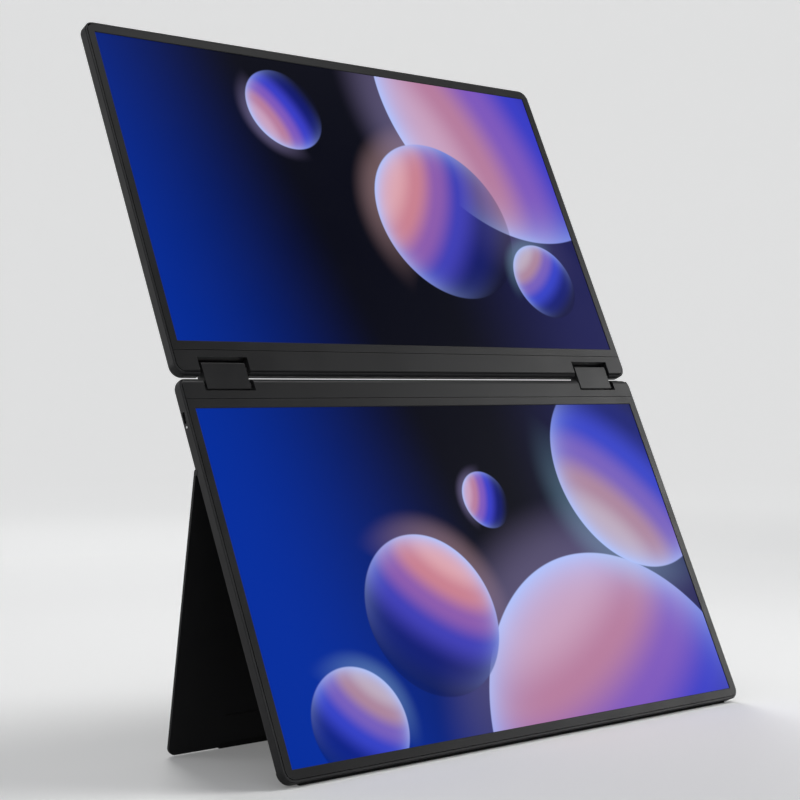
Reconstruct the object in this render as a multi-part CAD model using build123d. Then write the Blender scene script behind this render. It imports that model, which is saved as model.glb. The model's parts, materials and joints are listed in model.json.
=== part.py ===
from build123d import *
import os
from math import cos, radians, sin

# Foldable portable monitor: two screens on a pair of double-axis hinges, with a
# fold-out stand behind the lower screen. It is drawn open flat, leaning back on its stand.
# Millimetres and degrees. Each panel is drawn in a flat frame: X along the fold,
# Y away from the fold, Z out of the screen, with zero on the fold and at mid thickness.

# Screens and outline
screen_width = 309.9
screen_height = 174.3
screen_gap = 35.6
side_bezel = 5.5
far_bezel = 6.0
panel_thickness = 7.0
corner_radius = 6.0
back_round = 2.6
rim_chamfer = 0.3
wall = 1.2
far_wall = 2.8

# Front layer: bezel and hinge cover inside the rim of the back cover
seam = 0.3
rim_drop = 0.2
bezel_depth = 1.5
window_chamfer = 0.3
screen_recess = 0.4
hinge_strip = 4.7
upper_nose_round = 1.2
lower_nose_round = 2.9
upper_rim_round = 2.4
lower_cover_setback = 0.85

# Display stack
cell_thickness = 0.7
backlight_thickness = 1.0
module_side_border = 3.0
module_hinge_border = 2.0
module_far_border = 3.0
cell_margin = 0.4
plate_thickness = 0.6
plate_margin = 6.0
module_clearance = 0.15

# Fold hinges
axis_gap = 8.2
upper_nose_reach = 4.0
lower_nose_reach = 3.05
hinge_inset = 28.9
link_width = 25.8
link_thickness = 5.6
link_upper_reach = 2.55
link_lower_reach = 3.6
link_corner = 0.7
notch_gap = 2.0
upper_notch_depth = 9.3
upper_notch_shelf = 1.8
lower_notch_depth = 8.75
shaft_radius = 1.1
running_clearance = 0.05
seat_clearance = 0.02
shaft_outer_grip = 8.0
clamp_length = 8.0
clamp_half = 1.5
clamp_clearance = 0.1
leaf_length = 24.0
leaf_reach = 12.4
leaf_thickness = 1.2
leaf_screw_margin = 5.0

# Screws, drawn six-sided to keep the mesh light
screw_radius = 0.8
screw_head_radius = 1.6
screw_head_height = 0.6
screw_bite = 0.8
screw_clearance = 0.03

# Back of the panels
lip_height = 6.5
upper_step = 0.8
upper_spine = 22.0
rib_width = 1.2
rib_count = 5
rib_margin = 25.0
rib_end_gap = 9.0

# Stand
lean = 24.8
stand_open = 34.5
stand_axis = 48.1
stand_thickness = 1.5
stand_gap = 0.4
stand_corner = 4.0
knuckle_radius = 1.4
knuckle_clearance = 0.25
stand_hinge_inset = 55.45
lug_width = 6.0
lug_web = 2.4
lug_side_gap = 0.3
stand_pin_radius = 0.6
stand_pin_length = 22.0
stand_pocket_depth = 0.35
stand_pocket_margin = 32.0
stand_foot_margin = 30.0
stand_foot_height = 2.5
stand_foot_proud = 0.6
stand_foot_trim = 0.5

# Foot strip under the lower panel
foot_margin = 10.0
foot_width = 2.4
foot_back_edge = 1.3
foot_depth = 2.0
foot_proud = 0.9
foot_stand_off = 0.4

# Boards
board_first = 17.6
board_far_gap = 0.45
board_thickness = 0.8
board_end_gap = 2.2
board_post_height = 0.6
board_post_radius = 2.4
board_screw_inset = 9.0
chip_height = 0.7
main_chips = ((-70.0, 26.0, 14.0), (-20.0, 12.0, 12.0), (35.0, 18.0, 10.0), (80.0, 9.0, 9.0))
driver_first = 25.0
driver_length = 16.0
driver_end_gap = 60.45
driver_chips = ((-60.0, 12.0, 7.0), (0.0, 20.0, 8.0), (60.0, 12.0, 7.0))

# Sockets and buttons in the right side wall of the lower panel
port_first = 21.3
port_pitch = 10.4
port_width = 8.94
port_height = 3.26
port_shell = 0.3
port_depth = 7.0
port_setback = 0.6
port_clearance = 0.08
port_top_gap = 0.12
tongue_width = 6.7
tongue_thickness = 0.7
tongue_length = 4.5
insert_depth = 1.6
button_pitch = 4.4
button_length = 3.4
button_height = 1.8
button_level = -0.4
button_clearance = 0.1
button_setback = 0.1
button_flange = 0.35
button_flange_thickness = 0.5
button_travel = 0.4
switch_gap = 0.3
switch_depth = 1.6

# Lock slot and lamp in the left side wall of the lower panel
lock_center = 21.4
lock_length = 6.0
lock_height = 2.2
lock_top_gap = 0.1
lock_plate_edge = 0.9
lock_plate_thickness = 1.0
lamp_gap = 1.1
lamp_radius = 0.6
lamp_length = 2.2
lamp_level = 0.2

# Tripod bushing: quarter-inch thread, drawn at its tapping radius
bushing_center = 10.2
bushing_radius = 4.9
bushing_flange_radius = 5.6
bushing_flange_thickness = 0.8
bushing_height = 5.1
thread_radius = 2.6
thread_depth = 4.6
bushing_clearance = 0.05

# Levels and places that follow from the sizes above
half_thickness = panel_thickness / 2
panel_width = screen_width + 2 * side_bezel
half_width = panel_width / 2
panel_far = screen_gap / 2 + screen_height + far_bezel
screen_near = screen_gap / 2
axis_off = axis_gap / 2
hinge_center = half_width - hinge_inset
stand_hinge_center = half_width - stand_hinge_inset
upper_tip = axis_off - upper_nose_reach
lower_tip = axis_off - lower_nose_reach
front_level = half_thickness
rim_level = half_thickness - rim_drop
screen_level = front_level - screen_recess
cell_back = screen_level - cell_thickness
module_back = cell_back - backlight_thickness
seat_level = module_back - plate_thickness
spine_floor = wall - half_thickness
upper_floor = spine_floor + upper_step
split_level = 0.0
cover_end = screen_near - hinge_strip - seam
bezel_near = screen_near - hinge_strip
module_half_width = screen_width / 2 + module_side_border
module_room = module_half_width + module_clearance
module_near = screen_near - module_hinge_border
module_far = screen_near + screen_height + module_far_border
front_inset = wall + seam
upper_cover_setback = front_inset
notch_half = link_width / 2 + notch_gap
block_edge = hinge_center - notch_half - wall
knuckle_level = knuckle_radius - half_thickness
stand_recess = stand_thickness + stand_gap
trough_radius = knuckle_radius + knuckle_clearance
lip_edge = panel_far - lip_height
lower_spine = stand_axis - trough_radius - wall
board_far = lower_spine - board_far_gap
board_middle = (board_first + board_far) / 2
port_level = module_back - port_top_gap - port_height / 2
port_centers = {"top": port_first, "bottom": port_first + port_pitch}
last_button = board_far - button_height
button_centers = {"power_button": last_button - button_pitch, "menu_button": last_button}
lock_level = module_back - lock_top_gap - lock_height / 2
lamp_center = lock_center + lock_length / 2 + lamp_gap + lamp_radius
reach = panel_width

# Height of the fold above the table, and the stand's length from its axis to the table
shell_low = (panel_far - back_round) * cos(radians(lean))
shell_low += (half_thickness - back_round) * sin(radians(lean)) + back_round
fold_height = shell_low + foot_stand_off
stand_axis_height = fold_height - stand_axis * cos(radians(lean)) + knuckle_level * sin(radians(lean))
stand_reach = stand_axis_height / cos(radians(stand_open - lean))
stand_end = stand_axis + stand_reach - stand_foot_proud


def brick(x_low, x_high, y_low, y_high, z_low, z_high):
    """Block between two corners."""
    center = Pos((x_low + x_high) / 2, (y_low + y_high) / 2, (z_low + z_high) / 2)
    return center * Box(x_high - x_low, y_high - y_low, z_high - z_low)


def rod(x_low, x_high, radius, y, z):
    """Round bar along the fold."""
    return Pos((x_low + x_high) / 2, y, z) * Rot(0, 90, 0) * Cylinder(radius, x_high - x_low)


def post(x, y, radius, z_low, z_high):
    """Round bar square to the screen."""
    return Pos(x, y, (z_low + z_high) / 2) * Cylinder(radius, z_high - z_low)


def stud(x, y, radius, z_low, z_high):
    """Six-sided bar square to the screen, for screws, their holes and the threaded insert."""
    return extrude(Pos(x, y, z_low) * RegularPolygon(radius, 6), z_high - z_low)


def slab(half, y_low, y_high, z_low, z_high, radius):
    """Plate with rounded corners, square to the screen."""
    outline = RectangleRounded(2 * half, y_high - y_low, radius)
    return extrude(Pos(0, (y_low + y_high) / 2, z_low) * outline, z_high - z_low)


def pill(side, y, z, length, height, x_low, x_high):
    """Bar of slot-shaped section that runs into the side wall at side -1 or 1."""
    section = Plane(origin=(side * x_low, y, z), x_dir=(0, 1, 0), z_dir=(side, 0, 0))
    return extrude(section * SlotOverall(length, height), x_high - x_low)


def nose_corner(tip, level, radius):
    """What the rounding of a panel's front edge takes away along the fold."""
    corner = brick(-reach, reach, tip - radius, tip + radius, level - radius, level + radius)
    return corner - rod(-reach, reach, radius, tip + radius, level - radius)


def hinge_notches(tip, depth):
    """Openings at the fold where the two hinge links sit."""
    cuts = Part()
    for x in (-hinge_center, hinge_center):
        cuts += brick(x - notch_half, x + notch_half, tip - wall, depth, -panel_thickness, panel_thickness)
    return cuts


def shaft_grooves():
    """Square grooves in which the two hinge shafts lie."""
    room = shaft_radius + running_clearance
    cuts = []
    for side in (-1, 1):
        ends = sorted((side * (block_edge - seam), side * (hinge_center + notch_half + shaft_outer_grip)))
        cuts.append(brick(*ends, axis_off - room, axis_off + room, -room, room))
    return Part() + cuts


def clamp_rooms():
    """Rooms for the clamp blocks of the two hinge brackets."""
    room = clamp_half + clamp_clearance
    cuts = []
    for side in (-1, 1):
        ends = sorted((side * (block_edge - clamp_length - 2 * clamp_clearance), side * block_edge))
        cuts.append(brick(*ends, axis_off - room, axis_off + room, -room, room))
    return Part() + cuts


def screw_places():
    """Places of the screws in the two hinge leaves of a panel."""
    row = (axis_off + leaf_reach + clamp_half) / 2
    inner = block_edge - clamp_clearance - leaf_length + leaf_screw_margin
    outer = block_edge - clamp_clearance - leaf_screw_margin
    return [(side * x, row) for side in (-1, 1) for x in (inner, outer)]


def screws(places, seat):
    """Group of flat-headed screws whose heads sit on the level seat."""
    group = []
    for x, y in places:
        shank = stud(x, y, screw_radius, seat - leaf_thickness - screw_bite, seat)
        group.append(shank + stud(x, y, screw_head_radius, seat, seat + screw_head_height))
    return Part() + group


def back_cover(tip, nose_round, notch_depth, floor, spine, end_wall, front_edge):
    """Moulded tray of one panel, open in front from front_edge on: hollows, notches and shaft channels."""
    cover = slab(half_width, tip, panel_far, -half_thickness, rim_level, corner_radius)
    cover = fillet(cover.faces().sort_by(Axis.Z)[0].edges(), back_round)
    cover = chamfer(cover.faces().sort_by(Axis.Z)[-1].edges(), rim_chamfer)
    bezel_back = front_level - bezel_depth - seam
    inner_half = half_width - wall
    hollow = slab(inner_half, tip + wall, panel_far - wall, bezel_back, front_level, corner_radius - wall)
    hollow += brick(-module_room, module_room, tip + wall, panel_far - end_wall, floor, front_level)
    hollow -= brick(-reach, reach, tip - wall, bezel_near - seam, -panel_thickness, panel_thickness)
    cover -= hollow
    cover -= brick(-inner_half, inner_half, bezel_near - seam, spine, spine_floor, front_level)
    cover -= brick(-block_edge, block_edge, axis_off, bezel_near, spine_floor, front_level)
    front_room = slab(inner_half, front_edge, panel_far, split_level, front_level, corner_radius - wall)
    front_room -= brick(-reach, reach, bezel_near, 2 * panel_far, -panel_thickness, panel_thickness)
    cover -= front_room
    cover -= nose_corner(tip, front_level, nose_round)
    cover -= hinge_notches(tip, notch_depth)
    cover -= shaft_grooves()
    cover -= clamp_rooms()
    for x, y in screw_places():
        hole_low = spine_floor - screw_bite - screw_clearance
        cover -= stud(x, y, screw_radius + screw_clearance, hole_low, spine_floor)
    return cover


def hinge_cover(tip, nose_round, notch_depth, setback):
    """Front strip along the fold, with its round nose, over the hinge hollow."""
    cover = slab(half_width - front_inset, tip + setback, panel_far, split_level, front_level,
                 corner_radius - front_inset)
    cover -= brick(-reach, reach, cover_end, panel_far + wall, -panel_thickness, panel_thickness)
    cover -= nose_corner(tip + setback, front_level, nose_round)
    cover -= brick(-block_edge, block_edge, axis_off, cover_end + wall,
                   split_level - wall, front_level - wall)
    cover -= hinge_notches(tip, notch_depth)
    cover -= shaft_grooves()
    cover -= clamp_rooms()
    return cover


def bezel():
    """Front frame round the screen."""
    frame = slab(half_width - front_inset, -corner_radius, panel_far - front_inset, front_level - bezel_depth,
                 front_level, corner_radius - front_inset)
    frame -= brick(-reach, reach, -panel_far, bezel_near, -panel_thickness, panel_thickness)
    window = brick(-screen_width / 2, screen_width / 2, screen_near, screen_near + screen_height,
                   -panel_thickness, panel_thickness)
    frame -= window
    inner = frame.faces().sort_by(Axis.Z)[-1].inner_wires()[0].edges()
    frame = chamfer(inner, window_chamfer)
    frame -= brick(-module_room, module_room, module_near - module_clearance, module_far + module_clearance,
                   -panel_thickness, screen_level)
    return frame


def lcd_cell():
    """Glass of the display, with the picture on its front face."""
    half = module_half_width - cell_margin
    return brick(-half, half, module_near + cell_margin, module_far - cell_margin, cell_back, screen_level)


def backlight():
    """Light unit behind the glass, with the tray wall round it."""
    unit = brick(-module_half_width, module_half_width, module_near, module_far, module_back, screen_level)
    half = module_half_width - cell_margin
    unit -= brick(-half, half, module_near + cell_margin, module_far - cell_margin, cell_back, front_level)
    return unit


def support_plate():
    """Sheet that stiffens the display."""
    half = module_half_width - plate_margin
    return brick(-half, half, board_first, module_far - plate_margin, seat_level, module_back)


def hinge_shafts():
    """Steel pins that carry a panel on the two hinge links."""
    pins = []
    for side in (-1, 1):
        inner = side * (block_edge - clamp_clearance - clamp_length)
        outer = side * (hinge_center + notch_half + shaft_outer_grip - running_clearance)
        pins.append(rod(*sorted((inner, outer)), shaft_radius, axis_off, 0))
    return Part() + pins


def hinge_brackets():
    """Steel leaves screwed to the back cover, each with a clamp block round its shaft."""
    brackets = []
    for side in (-1, 1):
        edge = side * (block_edge - clamp_clearance)
        leaf = brick(*sorted((edge, edge - side * leaf_length)), axis_off + running_clearance, leaf_reach,
                     spine_floor, spine_floor + leaf_thickness)
        clamp_ends = sorted((edge, edge - side * clamp_length))
        leaf += brick(*clamp_ends, axis_off + running_clearance, axis_off + clamp_half, spine_floor, 0)
        leaf += brick(*clamp_ends, axis_off - clamp_half, axis_off + clamp_half, -clamp_half, clamp_half)
        leaf -= rod(*clamp_ends, shaft_radius + seat_clearance, axis_off, 0)
        brackets.append(leaf)
    bracket_set = Part() + brackets
    for x, y in screw_places():
        bracket_set -= stud(x, y, screw_radius + screw_clearance, spine_floor, spine_floor + leaf_thickness)
    return bracket_set


def hinge_link(side):
    """Link between the two fold axes: a flat bar with rounded edges and a bore at each axis."""
    x_low = side * hinge_center - link_width / 2
    length = axis_gap + link_upper_reach + link_lower_reach
    middle = (link_upper_reach - link_lower_reach) / 2
    section = Plane(origin=(x_low, middle, 0), x_dir=(0, 1, 0), z_dir=(1, 0, 0))
    link = extrude(section * RectangleRounded(length, link_thickness, link_corner), link_width)
    for y in (-axis_off, axis_off):
        link -= rod(-reach, reach, shaft_radius + running_clearance, y, 0)
    return link


def board_posts():
    """Places of the posts under the main board."""
    half = module_half_width - board_end_gap - board_screw_inset
    rows = (board_first + board_screw_inset / 2, board_far - board_screw_inset / 2)
    return [(x, y) for x in (-half + port_depth, 0, half - port_depth) for y in rows]


def chips(places, row, level):
    """Flat packages on a board."""
    return [brick(x - length / 2, x + length / 2, row - width / 2, row + width / 2,
                  level, level + chip_height)
            for x, length, width in places]


def usb_c_shell(y):
    """Drawn steel tube of a socket."""
    mouth = half_width - port_setback
    rear = mouth - port_depth
    shell = pill(1, y, port_level, port_width, port_height, rear, mouth)
    return shell - pill(1, y, port_level, port_width - 2 * port_shell, port_height - 2 * port_shell,
                        rear - wall, mouth + wall)


def usb_c_insert(y):
    """Moulded block that closes a socket at the back and carries its tongue."""
    rear = half_width - port_setback - port_depth
    slack = 2 * (port_shell + seat_clearance)
    block = pill(1, y, port_level, port_width - slack, port_height - slack, rear, rear + insert_depth)
    tongue_end = rear + insert_depth + tongue_length
    return block + brick(rear, tongue_end, y - tongue_width / 2, y + tongue_width / 2,
                         port_level - tongue_thickness / 2, port_level + tongue_thickness / 2)


def port_room(y, depth):
    """Room for a socket from the right side wall inwards."""
    rear = half_width - port_setback - port_depth - port_clearance
    return pill(1, y, port_level, port_width + 2 * port_clearance, port_height + 2 * port_clearance, rear,
                depth)


def lock_slot():
    """Opening for a lock through the left side wall and the plate behind it."""
    return pill(-1, lock_center, lock_level, lock_length, lock_height, module_half_width, reach)


def lock_plate():
    """Steel plate behind the lock slot, standing on the floor of the spine."""
    outer = half_width - wall - seat_clearance
    half_length = lock_length / 2 + lock_plate_edge
    plate = brick(-outer, lock_plate_thickness - outer, lock_center - half_length, lock_center + half_length,
                  spine_floor, module_back)
    return plate - lock_slot()


def main_board():
    """Lower board with chips, side switches, and cut-outs for the sockets."""
    half = module_half_width - board_end_gap
    low = spine_floor + board_post_height
    top = low + board_thickness
    board = brick(-half, half, board_first, board_far, low, top)
    board += chips(main_chips, board_middle, top)
    pressed_flange = half_width - wall - button_clearance - button_flange_thickness - button_travel
    for y in button_centers.values():
        board += brick(half - switch_depth, pressed_flange - switch_gap, y - button_height, y + button_height,
                       low, top + chip_height)
    for y in port_centers.values():
        board -= port_room(y, half_width)
    for x, y in board_posts():
        board -= stud(x, y, screw_radius + screw_clearance, low, top)
    return board


def driver_board():
    """Upper board behind the display, flat on the back cover."""
    half = half_width - driver_end_gap
    board = brick(-half, half, driver_first, driver_first + driver_length,
                  upper_floor, upper_floor + board_thickness)
    return board + chips(driver_chips, driver_first + driver_length / 2, upper_floor + board_thickness)


def upper_back_cover():
    """Back cover of the upper panel: rim along the fold, shelves behind the links, thin field, ribs."""
    cover = back_cover(upper_tip, upper_rim_round, upper_notch_depth, upper_floor,
                       upper_spine - wall, wall, upper_tip + wall)
    for x in (-hinge_center, hinge_center):
        cover += brick(x - notch_half, x + notch_half, upper_notch_depth - upper_notch_shelf,
                       upper_notch_depth, -half_thickness, spine_floor)
    cover -= brick(-reach, reach, upper_spine, lip_edge, -panel_thickness, upper_step - half_thickness)
    rib_half = half_width - wall - rib_end_gap
    rib_first = upper_spine + rib_margin
    rib_pitch = (lip_edge - rib_margin - rib_first) / (rib_count - 1)
    for row in range(rib_count):
        y = rib_first + row * rib_pitch
        cover += brick(-rib_half, rib_half, y - rib_width / 2, y + rib_width / 2, upper_floor, seat_level)
    return cover


def lower_back_cover():
    """Back cover of the lower panel: bed of the stand, posts, sockets, buttons, foot groove."""
    cover = back_cover(lower_tip, lower_nose_round, lower_notch_depth, seat_level,
                       lower_spine, far_wall, lower_tip - wall)
    cover -= brick(-reach, reach, stand_axis, lip_edge, -panel_thickness, stand_recess - half_thickness)
    cover -= rod(-reach, reach, trough_radius, stand_axis, knuckle_level)
    for x in (-stand_hinge_center, stand_hinge_center):
        lug = brick(x - lug_width / 2, x + lug_width / 2, stand_axis - lug_web / 2, stand_axis + lug_web / 2,
                    knuckle_level - lug_web / 2, seat_level)
        lug -= rod(x - lug_width, x + lug_width, stand_pin_radius + seat_clearance, stand_axis,
                   knuckle_level)
        cover += lug
    for x, y in board_posts():
        cover += stud(x, y, board_post_radius, spine_floor, spine_floor + board_post_height)
        cover -= stud(x, y, screw_radius + screw_clearance, spine_floor - screw_bite,
                      spine_floor + board_post_height)
    for y in port_centers.values():
        cover -= port_room(y, reach)
    cover -= lock_slot()
    cover -= rod(-reach, -module_half_width, lamp_radius + screw_clearance, lamp_center, lamp_level)
    for y in button_centers.values():
        cover -= pill(1, y, button_level, button_length + 2 * button_clearance,
                      button_height + 2 * button_clearance, module_half_width, reach)
    cover -= stud(0, bushing_center, bushing_radius + bushing_clearance, -panel_thickness, 0)
    strip_half = half_width - foot_margin
    cover -= brick(-strip_half, strip_half, panel_far - foot_depth, panel_far + foot_depth,
                   foot_back_edge - half_thickness, foot_back_edge + foot_width - half_thickness)
    return cover


def side_button(y):
    """Button cap that slides in the right side wall, with a flange behind the wall."""
    outer = half_width - button_setback
    inner = half_width - wall - button_clearance
    cap = pill(1, y, button_level, button_length, button_height, inner, outer)
    half_length = button_length / 2 + button_flange
    half_height = button_height / 2 + button_flange
    return cap + brick(inner - button_flange_thickness, inner, y - half_length, y + half_length,
                       button_level - half_height, button_level + half_height)


def tripod_bushing():
    """Blind threaded bushing, six-sided, flush with the back, held by a flange on the floor of the spine."""
    bushing = stud(0, bushing_center, bushing_radius, -half_thickness, bushing_height - half_thickness)
    bushing += stud(0, bushing_center, bushing_flange_radius, spine_floor,
                    spine_floor + bushing_flange_thickness)
    return bushing - post(0, bushing_center, thread_radius, -panel_thickness, thread_depth - half_thickness)


def stand_plate():
    """Stand, drawn shut: full-width plate with a knuckle edge, inner pocket and foot rebate."""
    outer = -half_thickness
    inner = outer + stand_thickness
    plate = brick(-half_width, half_width, stand_axis, stand_end, outer, inner)
    plate = fillet(plate.edges().filter_by(Axis.Z).group_by(Axis.Y)[-1], stand_corner)
    plate += rod(-half_width, half_width, knuckle_radius, stand_axis, knuckle_level)
    pocket_half = half_width - stand_pocket_margin
    plate -= brick(-pocket_half, pocket_half, stand_axis + stand_pocket_margin / 2,
                   stand_end - stand_pocket_margin / 2, inner - stand_pocket_depth, front_level)
    for x in (-stand_hinge_center, stand_hinge_center):
        gap_half = lug_width / 2 + lug_side_gap
        plate -= brick(x - gap_half, x + gap_half, stand_axis - 2 * knuckle_radius,
                       stand_axis + trough_radius + lug_side_gap, -panel_thickness, panel_thickness)
        plate -= rod(x - stand_pin_length / 2, x + stand_pin_length / 2,
                     stand_pin_radius + running_clearance, stand_axis, knuckle_level)
    foot_half = half_width - stand_foot_margin
    plate -= brick(-foot_half, foot_half, stand_end - stand_foot_height, stand_end + stand_foot_height,
                   -panel_thickness, panel_thickness)
    return plate


def stand_foot():
    """Rubber strip in the lower edge of the stand, drawn shut and a little too long."""
    half = half_width - stand_foot_margin
    return brick(-half, half, stand_end - stand_foot_height, stand_end + stand_foot_proud + stand_foot_trim,
                 -half_thickness, stand_thickness - half_thickness)


def stand_pins():
    """Pins through the lugs of the back cover and the knuckles of the stand."""
    half = stand_pin_length / 2 - running_clearance
    return Part() + [rod(x - half, x + half, stand_pin_radius, stand_axis, knuckle_level)
                     for x in (-stand_hinge_center, stand_hinge_center)]


def foot_strip():
    """Rubber strip in the end face of the lower panel, a little too long."""
    half = half_width - foot_margin
    return brick(-half, half, panel_far - foot_depth, panel_far + foot_proud,
                 foot_back_edge - half_thickness, foot_back_edge + foot_width - half_thickness)


def main():
    leaf_top = spine_floor + leaf_thickness
    board_top = spine_floor + board_post_height + board_thickness
    lamp_end = half_width - lamp_length

    upper = {
        "upper_back_cover": upper_back_cover(),
        "upper_bezel": bezel(),
        "upper_hinge_cover": hinge_cover(upper_tip, upper_nose_round, upper_notch_depth, upper_cover_setback),
        "upper_lcd_cell": lcd_cell(),
        "upper_backlight": backlight(),
        "upper_support_plate": support_plate(),
        "upper_driver_board": driver_board(),
        "upper_hinge_shafts": hinge_shafts(),
        "upper_hinge_brackets": hinge_brackets(),
        "upper_hinge_screws": screws(screw_places(), leaf_top),
    }
    lower = {
        "lower_back_cover": lower_back_cover(),
        "lower_bezel": bezel(),
        "lower_hinge_cover": hinge_cover(lower_tip, lower_nose_round, lower_notch_depth, lower_cover_setback),
        "lower_lcd_cell": lcd_cell(),
        "lower_backlight": backlight(),
        "lower_support_plate": support_plate(),
        "main_board": main_board(),
        "board_screws": screws(board_posts(), board_top),
        "lower_hinge_shafts": hinge_shafts(),
        "lower_hinge_brackets": hinge_brackets(),
        "lower_hinge_screws": screws(screw_places(), leaf_top),
        "lock_plate": lock_plate(),
        "status_lamp": rod(-half_width, -lamp_end, lamp_radius, lamp_center, lamp_level),
        "tripod_bushing": tripod_bushing(),
        "stand_pins": stand_pins(),
        "bottom_foot": foot_strip(),
    }
    for name, y in port_centers.items():
        lower[f"usb_c_shell_{name}"] = usb_c_shell(y)
        lower[f"usb_c_insert_{name}"] = usb_c_insert(y)
    for name, y in button_centers.items():
        lower[name] = side_button(y)
    stand = {"stand_plate": stand_plate(), "stand_foot": stand_foot()}
    links = {"hinge_link_left": hinge_link(-1), "hinge_link_right": hinge_link(1)}

    # The lower panel and its stand mirror the upper one about the fold, then the stand swings out.
    swing = Pos(0, -stand_axis, knuckle_level) * Rot(stand_open, 0, 0) * Pos(0, stand_axis, -knuckle_level)
    screen_normal = (0, -cos(radians(lean)), sin(radians(lean)))
    tilt = Plane(origin=(0, 0, 0), x_dir=(1, 0, 0), z_dir=screen_normal).location
    placed = {name: tilt * piece for name, piece in {**upper, **links}.items()}
    placed.update({name: tilt * mirror(piece, Plane.XZ) for name, piece in lower.items()})
    placed.update({name: tilt * swing * mirror(piece, Plane.XZ) for name, piece in stand.items()})

    # The two rubber feet are cut level with the table.
    table = brick(-reach, reach, -2 * panel_far, 2 * panel_far, -fold_height - panel_far, -fold_height)
    for name in ("bottom_foot", "stand_foot"):
        placed[name] = placed[name] - table

    # The origin is on the table, under the middle of the whole.
    boxes = [piece.bounding_box() for piece in placed.values()]
    front = min(box.min.Y for box in boxes)
    back = max(box.max.Y for box in boxes)
    shift = Pos(0, -(front + back) / 2, fold_height)

    os.makedirs("parts", exist_ok=True)
    for name, piece in placed.items():
        export_step(shift * piece, f"parts/{name}.step")

    def place(x, y, z):
        return tuple(round(value / 1000, 6) for value in (shift * tilt * Pos(x, y, z)).position)

    print("lower fold axis, m:", place(0, -axis_off, 0))
    print("upper fold axis, m:", place(0, axis_off, 0))
    print("stand axis, m:", place(0, -stand_axis, knuckle_level))
    print("tripod thread mouth, m:", place(0, -bushing_center, -half_thickness))
    print("stand length, mm:", round(stand_end - stand_axis, 2))
    print("gap from stand to lip, mm:", round(lip_edge - stand_end, 2))
    print("fold height, mm:", round(fold_height, 3), "panel far, mm:", round(panel_far, 3))
    print("screen centre upper, m:", place(0, screen_near + screen_height / 2, screen_level))
    print("screen centre lower, m:", place(0, -screen_near - screen_height / 2, screen_level))
    for name in ("bottom_foot", "stand_foot"):
        facet = (shift * placed[name]).faces().sort_by(Axis.Z)[0]
        center = tuple(round(value / 1000, 6) for value in facet.center())
        print(name, "facet, m:", center, "area, mm2:", round(facet.area, 1))
    for name, y in port_centers.items():
        print(name, "socket mouth, m:", place(half_width - port_setback, -y, port_level))
    print("lock slot mouth, m:", place(-half_width, -lock_center, lock_level))


main()
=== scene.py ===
import json
import math

import bpy
from mathutils import Matrix, Vector


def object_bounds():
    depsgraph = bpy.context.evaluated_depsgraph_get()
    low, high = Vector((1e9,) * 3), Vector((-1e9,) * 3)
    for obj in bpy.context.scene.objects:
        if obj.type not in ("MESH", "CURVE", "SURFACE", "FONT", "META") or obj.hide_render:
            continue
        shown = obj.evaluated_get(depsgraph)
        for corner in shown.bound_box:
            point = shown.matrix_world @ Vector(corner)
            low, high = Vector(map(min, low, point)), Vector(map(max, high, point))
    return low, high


# Looks of a foldable portable monitor, in metres, in the frame of its solids.
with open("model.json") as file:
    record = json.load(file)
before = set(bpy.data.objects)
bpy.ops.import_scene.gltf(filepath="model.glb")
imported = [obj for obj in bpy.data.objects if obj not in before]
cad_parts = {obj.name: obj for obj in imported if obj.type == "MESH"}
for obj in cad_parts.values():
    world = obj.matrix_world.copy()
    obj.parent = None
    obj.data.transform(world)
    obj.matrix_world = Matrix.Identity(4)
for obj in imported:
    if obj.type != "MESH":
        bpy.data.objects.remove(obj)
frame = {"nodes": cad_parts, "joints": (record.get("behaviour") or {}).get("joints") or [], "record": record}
cad_low, cad_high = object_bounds()

# Camera
camera_place = (-0.6224, -0.6791, 0.1748)
camera_turn = (89.65, 0.07, -41.71)
lens = 77.56
sensor = 36.0

# Stage: a round floor that sweeps up into a wall, lifted to a pale tone where it is seen
floor_radius = 2.2
sweep_radius = 0.9
wall_height = 1.2
floor_segments = 96
sweep_steps = 12
floor_colour = (0.74, 0.74, 0.735)
floor_roughness = 0.9
paper_scale = 1.5
paper_tone = 1.02
floor_lift = 0.14
wall_lift = 0.74
lift_start = 0.5
lift_end = 1.75
sky_colour = (0.93, 0.95, 1.0)
sky_strength = 0.3

# Lamps: name, place and size in metres, spread in degrees, power in watts
lamps = (
    ("key", (1.6, -0.7, 0.8), 0.8, 60.0, 2.05),
    ("fill", (-1.6, -0.5, 1.0), 1.2, 90.0, 1.0),
    ("side", (-1.3, 1.3, 0.4), 0.9, 90.0, 1.2),
    ("top", (0.95, -0.1, 1.8), 0.7, 90.0, 2.6),
    ("back", (0.7, 1.5, 1.2), 1.0, 90.0, 5.0),
)

# Panel frame: X along the fold, Y up the panels, Z out of the screens
joints = {joint["name"]: joint for joint in frame["joints"]}
lower_axis = Vector(joints["fold_lower"]["pos_m"])
upper_axis = Vector(joints["fold_upper"]["pos_m"])
fold = (lower_axis + upper_axis) / 2
panel_up = (upper_axis - lower_axis).normalized()
panel_tilt = math.atan2(panel_up.z, panel_up.y)
to_panel = Matrix.Rotation(-panel_tilt, 4, "X") @ Matrix.Translation(-fold)
millimetres = 1000.0

# Most of a noise texture lies between these two values
noise_low = 0.3
noise_high = 0.7

# Dull plastics, paints and rubber: slow mottling, and edges lightened as wear and as a painted highlight
mottle_scale = 45.0
mottle_detail = 3.0
tone_per_roughness = 2.4
dull_gloss = 0.1
edge_width = 0.0004
edge_samples = 4
edge_likeness = 0.75
edge_wear_highlight_gain = 2.2
edge_wear_highlight_lift = 0.02

# Drawn and turned metal: streaks along the fold, in metres
streak_width = 0.0002
streak_stretch = 25.0
streak_shade = 0.82
streak_depth = 0.000004
streak_roughness = 0.08

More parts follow.
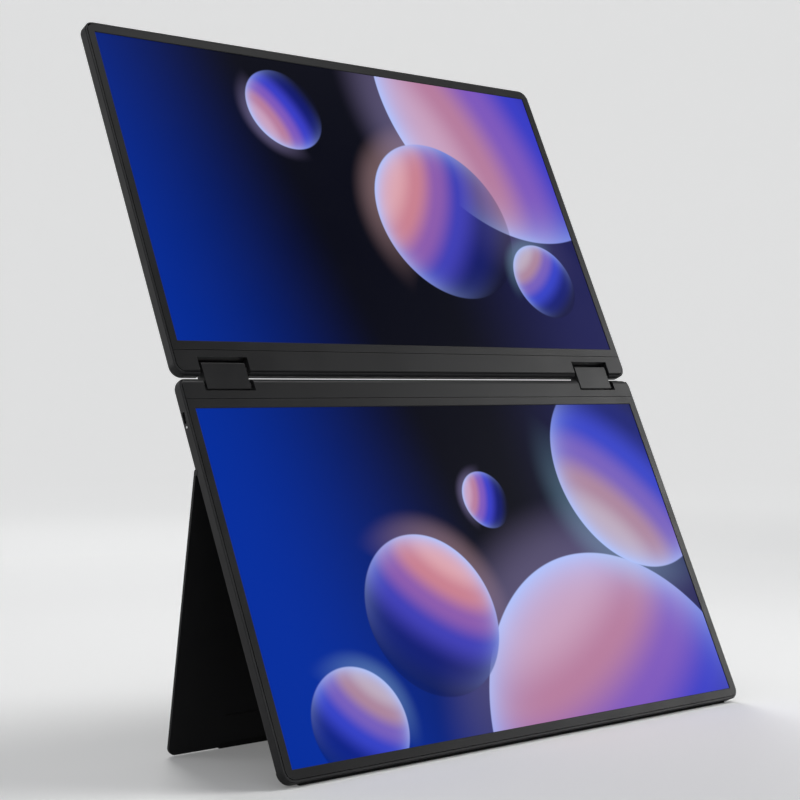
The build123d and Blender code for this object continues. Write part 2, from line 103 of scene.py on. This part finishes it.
# Circuit board: track cells to a millimetre, and where a track fades out in its cell
track_scale = 0.35
track_full = 0.05
track_end = 0.12
track_depth = 0.00003
board_green = (0.008, 0.06, 0.025)
track_green = (0.02, 0.12, 0.05)
board_roughness = 0.35

# Socket tongues: contacts in millimetres of the panel frame, their depth in metres
contact_pitch = 0.5
contact_width = 0.25
contact_end = 158.6
contact_depth = 0.00002
contact_gilt = (0.75, 0.52, 0.2)
contact_roughness = 0.3
tongue_face = 0.9
tongue_scale = 3000.0
tongue_dark = (0.008, 0.008, 0.009)
tongue_light = (0.014, 0.014, 0.015)
tongue_roughness = 0.45

# Tripod insert: thread pitch in millimetres, depth in metres
thread_pitch = 1.27
thread_depth = 0.0006
plating_scale = 2500.0
plating_detail = 3.0
plating_shade = 0.8
plating_roughness = 0.06

# Lamp guide
guide_scale = 2500.0
guide_dark = (0.5, 0.505, 0.505)
guide_light = (0.68, 0.685, 0.68)
guide_roughness = 0.25

# Screen face: black glass with faint smears and an anti-glare grain
screen_black = (0.001, 0.001, 0.0015)
screen_gloss = 0.012
screen_roughness = 0.39
smear_scale = 30.0
smear_roughness = 0.03
glare_scale = 9000.0
glare_depth = 0.000002

# Picture on the screens, in millimetres of the panel frame: deep blue that fades to black and navy
blue_slant = 0.25
blue_start = -180.0
blue_end = -15.0
navy_start = 30.0
navy_end = 150.0
left_blue = (0.0, 0.026, 0.33)
middle_black = (0.0006, 0.001, 0.006)
right_navy = (0.01, 0.011, 0.085)

# Soft lit balls over it: centre, radius, direction of the light in degrees, tint
violet = (0.6, 0.5, 1.0)
cyan = (0.4, 0.75, 1.0)
rose = (1.0, 0.62, 0.66)
balls = (
    ((128.0, 184.0), 96.0, 205.0, violet),
    ((52.0, 98.0), 50.0, 150.0, rose),
    ((-44.0, 160.0), 25.0, 210.0, violet),
    ((118.0, 62.0), 24.0, 130.0, cyan),
    ((72.0, -210.0), 104.0, 115.0, violet),
    ((132.0, -60.0), 58.0, 228.0, cyan),
    ((-46.0, -130.0), 42.0, 55.0, rose),
    ((14.0, -72.0), 16.0, 160.0, violet),
    ((-110.0, -178.0), 28.0, 50.0, cyan),
)

# Light on a ball: hues from dark side to lit side, edge blur in millimetres, glow in shares of its radius
ball_hues = (
    (0.0, (0.001, 0.002, 0.02)),
    (0.3, (0.004, 0.012, 0.2)),
    (0.55, (0.05, 0.06, 0.55)),
    (0.72, (0.26, 0.13, 0.5)),
    (0.86, (0.58, 0.27, 0.34)),
    (0.97, (0.72, 0.46, 0.5)),
)
ball_light_lift = 22.0
ball_dark_side = -0.75
ball_edge_blur = 0.5
ball_tint = 0.5
ball_least_cover = 0.35
ball_full_cover = 0.55
ball_rim = (0.42, 0.55, 1.0)
rim_narrowing = 9.0
rim_fading = 1.5
glow_start = 0.95
glow_end = 1.35
glow_share = 0.22
glow_turn_start = 0.2
glow_turn_end = 1.2


class Net:
    """Short way to write shader nodes: each call makes one node and returns its output."""

    def __init__(self, tree):
        self.tree = tree

    def add(self, kind, **settings):
        node = self.tree.nodes.new(kind)
        for name, value in settings.items():
            setattr(node, name, value)
        return node

    def put(self, socket, value):
        if isinstance(value, bpy.types.NodeSocket):
            self.tree.links.new(value, socket)
        else:
            socket.default_value = value

    def math(self, operation, first, second=0.0, clamp=False):
        node = self.add("ShaderNodeMath", operation=operation, use_clamp=clamp)
        self.put(node.inputs[0], first)
        self.put(node.inputs[1], second)
        return node.outputs[0]

    def vector(self, operation, first, second=(0.0, 0.0, 0.0)):
        node = self.add("ShaderNodeVectorMath", operation=operation)
        self.put(node.inputs[0], first)
        self.put(node.inputs[1], second)
        return node.outputs["Value" if operation in ("DOT_PRODUCT", "LENGTH") else "Vector"]

    def spread(self, value, low, high, to_low=0.0, to_high=1.0, kind="LINEAR"):
        node = self.add("ShaderNodeMapRange", interpolation_type=kind)
        for name, number in zip(("Value", "From Min", "From Max", "To Min", "To Max"),
                                (value, low, high, to_low, to_high)):
            self.put(node.inputs[name], number)
        return node.outputs["Result"]

    def vary(self, noise, middle, swing):
        """A value that follows a noise texture either side of a middle."""
        return self.spread(noise, noise_low, noise_high, middle - swing, middle + swing)

    def mix(self, factor, first, second, blend="MIX"):
        node = self.add("ShaderNodeMix", data_type="RGBA", blend_type=blend)
        self.put(node.inputs["Factor"], factor)
        self.put(node.inputs["A"], opaque(first))
        self.put(node.inputs["B"], opaque(second))
        return node.outputs["Result"]

    def ramp(self, factor, stops):
        node = self.add("ShaderNodeValToRGB")
        node.color_ramp.interpolation = "EASE"
        elements = node.color_ramp.elements
        while len(elements) < len(stops):
            elements.new(1.0)
        for element, (place, colour) in zip(elements, stops):
            element.position = place
            element.color = opaque(colour)
        self.put(node.inputs["Fac"], factor)
        return node.outputs["Color"]

    def noise(self, point, scale, detail=2.0):
        node = self.add("ShaderNodeTexNoise")
        self.put(node.inputs["Vector"], point)
        self.put(node.inputs["Scale"], scale)
        self.put(node.inputs["Detail"], detail)
        return node.outputs["Fac"]

    def bump(self, height, distance):
        node = self.add("ShaderNodeBump")
        self.put(node.inputs["Height"], height)
        self.put(node.inputs["Distance"], distance)
        return node.outputs["Normal"]

    def split(self, vector):
        """The three parts of a vector, by axis."""
        node = self.add("ShaderNodeSeparateXYZ")
        self.put(node.inputs["Vector"], vector)
        return node.outputs

    def place(self):
        return self.add("ShaderNodeTexCoord").outputs["Object"]

    def panel_place(self):
        """Place in the panel frame, in millimetres."""
        node = self.add("ShaderNodeMapping", vector_type="POINT")
        self.put(node.inputs["Vector"], self.place())
        node.inputs["Rotation"].default_value = (-panel_tilt, 0.0, 0.0)
        node.inputs["Scale"].default_value = (millimetres,) * 3
        node.inputs["Location"].default_value = to_panel.translation * millimetres
        return node.outputs["Vector"]

    def panel_normal(self):
        """Direction of the surface in the panel frame."""
        node = self.add("ShaderNodeMapping", vector_type="NORMAL")
        self.put(node.inputs["Vector"], self.add("ShaderNodeNewGeometry").outputs["Normal"])
        node.inputs["Rotation"].default_value = (-panel_tilt, 0.0, 0.0)
        return node.outputs["Vector"]


def opaque(colour):
    """A colour with full alpha; links pass through."""
    return colour if isinstance(colour, bpy.types.NodeSocket) or len(colour) == 4 else (*colour, 1.0)


def shade(colour, factor):
    """A colour made darker or lighter."""
    return tuple(factor * value for value in colour)


def new_material(name):
    material = bpy.data.materials.new(name)
    material.use_nodes = True
    return material, Net(material.node_tree), material.node_tree.nodes["Principled BSDF"]


def edge_mask(net):
    """White along sharp outer edges, black elsewhere."""
    rounded = net.add("ShaderNodeBevel", samples=edge_samples)
    rounded.inputs["Radius"].default_value = edge_width
    flat = net.add("ShaderNodeNewGeometry")
    likeness = net.vector("DOT_PRODUCT", rounded.outputs["Normal"], flat.outputs["Normal"])
    return net.spread(likeness, 1.0, edge_likeness)


def grained(name, colour, roughness, metallic=0.0, grain=0.00035, depth=0.000012, edge_wear_and_highlight=0.35, mottling=0.05):
    """Moulded or blasted surface: fine grain, slow mottling, edges lighter from wear and a painted
    highlight.
    """
    material, net, shader = new_material(name)
    point = net.place()
    mottle = net.noise(point, mottle_scale, mottle_detail)
    fine = net.noise(point, 1.0 / grain, detail=1.0)
    swing = mottling * tone_per_roughness
    body = net.mix(mottle, shade(colour, 1.0 - swing), shade(colour, 1.0 + swing))
    # Edges lightened in colour: partly rubbed wear, partly a painted highlight along the edges
    worn_highlit_edge_colour = tuple(min(1.0, edge_wear_highlight_gain * value + edge_wear_highlight_lift) for value in colour)
    edges = net.math("MULTIPLY", edge_mask(net), net.math("MULTIPLY", mottle, edge_wear_and_highlight))
    net.put(shader.inputs["Base Color"], net.mix(edges, body, worn_highlit_edge_colour))
    net.put(shader.inputs["Roughness"], net.vary(mottle, roughness, mottling))
    net.put(shader.inputs["Normal"], net.bump(fine, depth))
    shader.inputs["Metallic"].default_value = metallic
    shader.inputs["Specular IOR Level"].default_value = dull_gloss
    return material


def brushed(name, colour, roughness):
    """Drawn or turned metal with fine streaks along the fold."""
    material, net, shader = new_material(name)
    stretched = net.add("ShaderNodeMapping")
    net.put(stretched.inputs["Vector"], net.place())
    fineness = 1.0 / streak_width
    stretched.inputs["Scale"].default_value = (fineness / streak_stretch, fineness, fineness)
    streaks = net.noise(stretched.outputs["Vector"], 1.0)
    net.put(shader.inputs["Base Color"], net.mix(streaks, shade(colour, streak_shade), colour))
    net.put(shader.inputs["Roughness"], net.vary(streaks, roughness, streak_roughness))
    net.put(shader.inputs["Normal"], net.bump(streaks, streak_depth))
    shader.inputs["Metallic"].default_value = 1.0
    return material


def circuit_board(name):
    """Green board with copper tracks under the mask."""
    material, net, shader = new_material(name)
    cells = net.add("ShaderNodeTexVoronoi", feature="DISTANCE_TO_EDGE", distance="CHEBYCHEV")
    net.put(cells.inputs["Vector"], net.panel_place())
    cells.inputs["Scale"].default_value = track_scale
    tracks = net.spread(cells.outputs["Distance"], track_full, track_end, 1.0, 0.0)
    net.put(shader.inputs["Base Color"], net.mix(tracks, board_green, track_green))
    net.put(shader.inputs["Normal"], net.bump(tracks, track_depth))
    shader.inputs["Roughness"].default_value = board_roughness
    return material


def ball_group():
    """Node group that lays one softly lit ball over a picture."""
    group = bpy.data.node_groups.new("lit_ball", "ShaderNodeTree")
    for name, kind in (("Below", "NodeSocketColor"), ("Point", "NodeSocketVector"),
                       ("Centre", "NodeSocketVector"), ("Radius", "NodeSocketFloat"),
                       ("Light", "NodeSocketVector"), ("Tint", "NodeSocketColor")):
        group.interface.new_socket(name, in_out="INPUT", socket_type=kind)
    group.interface.new_socket("Picture", in_out="OUTPUT", socket_type="NodeSocketColor")
    net = Net(group)
    given = net.add("NodeGroupInput").outputs

    # Place on the ball, with its radius as one
    inverse = net.math("DIVIDE", 1.0, given["Radius"])
    scaled = net.add("ShaderNodeVectorMath", operation="SCALE")
    net.put(scaled.inputs[0], net.vector("SUBTRACT", given["Point"], given["Centre"]))
    net.put(scaled.inputs["Scale"], inverse)
    offset = scaled.outputs["Vector"]
    distance = net.vector("LENGTH", offset)
    squared = net.math("MULTIPLY", distance, distance)
    upright = net.add("ShaderNodeCombineXYZ")
    net.put(upright.inputs["Z"], net.math("SQRT", net.math("SUBTRACT", 1.0, squared, clamp=True)))
    normal = net.vector("ADD", offset, upright.outputs["Vector"])
    lit = net.spread(net.vector("DOT_PRODUCT", normal, given["Light"]), ball_dark_side, 1.0)

    # Body of the ball: hues by the light, a tint, and a dark side that lets the picture through
    hues = net.ramp(lit, ball_hues)
    body = net.mix(ball_tint, hues, net.mix(1.0, hues, given["Tint"], "MULTIPLY"))
    cover = net.spread(lit, 0.0, ball_full_cover, ball_least_cover, 1.0)
    body = net.mix(cover, given["Below"], body)
    near_edge = net.math("POWER", distance, rim_narrowing)
    rim = net.math("MULTIPLY", near_edge, net.math("POWER", lit, rim_fading), clamp=True)
    body = net.mix(rim, body, ball_rim)

    # Glow outside the ball on its lit side, then the ball over it with a soft edge
    facing = net.spread(net.vector("DOT_PRODUCT", offset, given["Light"]), glow_turn_start, glow_turn_end)
    halo = net.spread(distance, glow_end, glow_start, 0.0, glow_share, "SMOOTHSTEP")
    around = net.mix(net.math("MULTIPLY", halo, facing), given["Below"], given["Tint"])
    soft = net.math("MULTIPLY", ball_edge_blur, inverse)
    outer = net.math("ADD", 1.0, soft)
    inner = net.math("SUBTRACT", 1.0, soft)
    inside = net.spread(distance, outer, inner, kind="SMOOTHSTEP")
    result = net.add("NodeGroupOutput")
    net.put(result.inputs["Picture"], net.mix(inside, around, body))
    return group


def screen_picture(name):
    """Lit display: a picture behind a fine anti-glare face."""
    material, net, shader = new_material(name)
    point = net.vector("MULTIPLY", net.panel_place(), (1.0, 1.0, 0.0))
    across = net.split(point)
    slant = net.math("ADD", across["X"], net.math("MULTIPLY", across["Y"], blue_slant))
    blue_fade = net.spread(slant, blue_start, blue_end, kind="SMOOTHSTEP")
    navy_fade = net.spread(across["X"], navy_start, navy_end, kind="SMOOTHSTEP")
    picture = net.mix(navy_fade, net.mix(blue_fade, left_blue, middle_black), right_navy)
    group = ball_group()
    lift = math.radians(ball_light_lift)
    for (x, y), radius, angle, tint in balls:
        ball = net.add("ShaderNodeGroup", node_tree=group)
        turn = math.radians(angle)
        light = (math.cos(turn) * math.cos(lift), math.sin(turn) * math.cos(lift), math.sin(lift))
        for socket, value in (("Below", picture), ("Point", point), ("Centre", (x, y, 0.0)),
                              ("Radius", radius), ("Light", light), ("Tint", opaque(tint))):
            net.put(ball.inputs[socket], value)
        picture = ball.outputs["Picture"]
    net.put(shader.inputs["Emission Color"], picture)
    shader.inputs["Emission Strength"].default_value = 1.0
    shader.inputs["Base Color"].default_value = opaque(screen_black)
    shader.inputs["Specular IOR Level"].default_value = screen_gloss
    smears = net.noise(net.place(), smear_scale)
    net.put(shader.inputs["Roughness"], net.vary(smears, screen_roughness, smear_roughness))
    net.put(shader.inputs["Normal"], net.bump(net.noise(net.place(), glare_scale), glare_depth))
    return material


def lamp_material(name):
    """Milky, slightly cloudy light guide."""
    material, net, shader = new_material(name)
    cloud = net.noise(net.place(), guide_scale)
    net.put(shader.inputs["Base Color"], net.mix(cloud, guide_dark, guide_light))
    shader.inputs["Roughness"].default_value = guide_roughness
    return material


def socket_insert(name):
    """Black moulded tongue with a row of gilt contacts on each face."""
    material, net, shader = new_material(name)
    across = net.split(net.panel_place())
    rows = net.math("PINGPONG", across["Y"], contact_pitch / 2)
    strips = net.math("LESS_THAN", rows, contact_width / 2)
    inner = net.math("LESS_THAN", across["X"], contact_end)
    facing = net.math("ABSOLUTE", net.split(net.panel_normal())["Z"])
    flat = net.math("GREATER_THAN", facing, tongue_face)
    gilt = net.math("MULTIPLY", net.math("MULTIPLY", strips, inner), flat)
    grain = net.noise(net.place(), tongue_scale)
    black = net.mix(grain, tongue_dark, tongue_light)
    net.put(shader.inputs["Base Color"], net.mix(gilt, black, contact_gilt))
    net.put(shader.inputs["Metallic"], gilt)
    net.put(shader.inputs["Roughness"], net.spread(gilt, 0.0, 1.0, tongue_roughness, contact_roughness))
    net.put(shader.inputs["Normal"], net.bump(net.math("ADD", grain, gilt), contact_depth))
    return material


def threaded(name, colour, roughness):
    """Plated insert: turned face, with the turns of the thread inside the bore."""
    material, net, shader = new_material(name)
    turns = net.math("PINGPONG", net.split(net.panel_place())["Z"], thread_pitch / 2)
    grooves = net.spread(turns, 0.0, thread_pitch / 2)
    fine = net.noise(net.place(), plating_scale, plating_detail)
    net.put(shader.inputs["Base Color"], net.mix(fine, shade(colour, plating_shade), colour))
    net.put(shader.inputs["Roughness"], net.vary(fine, roughness, plating_roughness))
    net.put(shader.inputs["Normal"], net.bump(grooves, thread_depth))
    shader.inputs["Metallic"].default_value = 1.0
    return material


# Finish of each material slot, and the pieces that take it
finishes = {
    # The edge values below lighten edges both as wear and as a painted highlight
    "casing": grained("casing_plastic", (0.02, 0.02, 0.021), 0.44, edge_wear_and_highlight=1.1),
    "front_frame": grained("bezel_plastic", (0.013, 0.013, 0.0135), 0.39, edge_wear_and_highlight=1.3),
    "hinge_trim": grained("trim_plastic", (0.014, 0.014, 0.0145), 0.39, edge_wear_and_highlight=0.9),
    "hinge_metal": grained("hinge_paint", (0.015, 0.015, 0.0155), 0.38, grain=0.0005, depth=0.000008),
    "stand_metal": grained("stand_anodised", (0.018, 0.018, 0.019), 0.48, metallic=0.2, grain=0.00025,
                           mottling=0.015),
    "screen": screen_picture("screen_picture"),
    "light_unit": grained("light_tray", (0.7, 0.7, 0.7), 0.5),
    "inner_sheet": brushed("inner_sheet", (0.75, 0.75, 0.76), 0.4),
    "circuit_board": circuit_board("circuit_board"),
    "steel": brushed("turned_steel", (0.5, 0.5, 0.5), 0.35),
    "socket_metal": brushed("socket_steel", (0.42, 0.42, 0.43), 0.34),
    "socket_plastic": socket_insert("socket_insert"),
    "thread_insert": threaded("plated_brass", (0.5, 0.46, 0.38), 0.35),
    "rubber": grained("foot_rubber", (0.016, 0.016, 0.016), 0.8, grain=0.0006, depth=0.00002, edge_wear_and_highlight=0.15),
    "button": grained("button_plastic", (0.015, 0.015, 0.0155), 0.26, edge_wear_and_highlight=1.6),
    "lamp": lamp_material("lamp_guide"),
}
slot_of = {subpart["node"]: subpart["material_slot"] for subpart in frame["record"]["subparts"]}
for node, piece in frame["nodes"].items():
    for slot in piece.material_slots:
        slot.material = finishes[slot_of[node]]


def floor_mesh():
    """Round floor that sweeps up into a wall, turned from its profile of radii and heights."""
    profile = [(floor_radius, 0.0)]
    for step in range(1, sweep_steps + 1):
        turn = math.pi / 2 * step / sweep_steps
        profile.append((floor_radius + sweep_radius * math.sin(turn), sweep_radius * (1 - math.cos(turn))))
    profile.append((floor_radius + sweep_radius, sweep_radius + wall_height))
    points = [(0.0, 0.0, 0.0)]
    for radius, height in profile:
        for segment in range(floor_segments):
            turn = 2 * math.pi * segment / floor_segments
            points.append((radius * math.cos(turn), radius * math.sin(turn), height))
    faces = []
    for segment in range(floor_segments):
        following = (segment + 1) % floor_segments
        faces.append((0, 1 + segment, 1 + following))
        for ring in range(len(profile) - 1):
            start = 1 + ring * floor_segments
            above = start + floor_segments
            faces.append((start + segment, above + segment, above + following, start + following))
    mesh = bpy.data.meshes.new("floor")
    mesh.from_pydata(points, [], faces)
    mesh.shade_smooth()
    return mesh


def floor_material(name):
    """Pale paper, lifted where it is seen directly, in a reflection or through glass."""
    material, net, shader = new_material(name)
    paper = net.noise(net.place(), paper_scale)
    net.put(shader.inputs["Base Color"], net.mix(paper, floor_colour, shade(floor_colour, paper_tone)))
    shader.inputs["Roughness"].default_value = floor_roughness
    shader.inputs["Specular IOR Level"].default_value = dull_gloss
    ray = net.add("ShaderNodeLightPath").outputs
    seen = net.math("ADD", ray["Is Camera Ray"], ray["Is Glossy Ray"])
    seen = net.math("ADD", seen, ray["Is Transmission Ray"], clamp=True)
    away = net.vector("LENGTH", net.place())
    lift = net.spread(away, lift_start, lift_end, floor_lift, wall_lift, "SMOOTHSTEP")
    shader.inputs["Emission Color"].default_value = opaque(floor_colour)
    net.put(shader.inputs["Emission Strength"], net.math("MULTIPLY", seen, lift))
    return material


def stage_floor():
    mesh = floor_mesh()
    mesh.materials.append(floor_material("floor_paper"))
    floor = bpy.data.objects.new("floor", mesh)
    bpy.context.scene.collection.objects.link(floor)


def soft_lamp(name, place, size, spread, watts, aim):
    """Round soft lamp, turned to its aim and itself unseen."""
    light = bpy.data.lights.new(name, "AREA")
    light.shape = "DISK"
    light.size = size
    light.spread = math.radians(spread)
    light.energy = watts
    lamp = bpy.data.objects.new(name, light)
    lamp.location = place
    lamp.rotation_euler = (Vector(aim) - Vector(place)).to_track_quat("-Z", "Y").to_euler()
    lamp.visible_camera = False
    bpy.context.scene.collection.objects.link(lamp)


def make_camera():
    data = bpy.data.cameras.new("camera")
    data.lens = lens
    data.sensor_width = sensor
    camera = bpy.data.objects.new("camera", data)
    camera.location = camera_place
    camera.rotation_euler = [math.radians(angle) for angle in camera_turn]
    bpy.context.scene.collection.objects.link(camera)
    bpy.context.scene.camera = camera


def make_sky():
    world = bpy.data.worlds.new("sky")
    world.use_nodes = True
    background = world.node_tree.nodes["Background"]
    background.inputs["Color"].default_value = opaque(sky_colour)
    background.inputs["Strength"].default_value = sky_strength
    bpy.context.scene.world = world


stage_floor()
middle = (cad_low + cad_high) / 2
for lamp_settings in lamps:
    soft_lamp(*lamp_settings, aim=middle)
make_camera()
make_sky()
bpy.context.scene.view_settings.view_transform = "Standard"
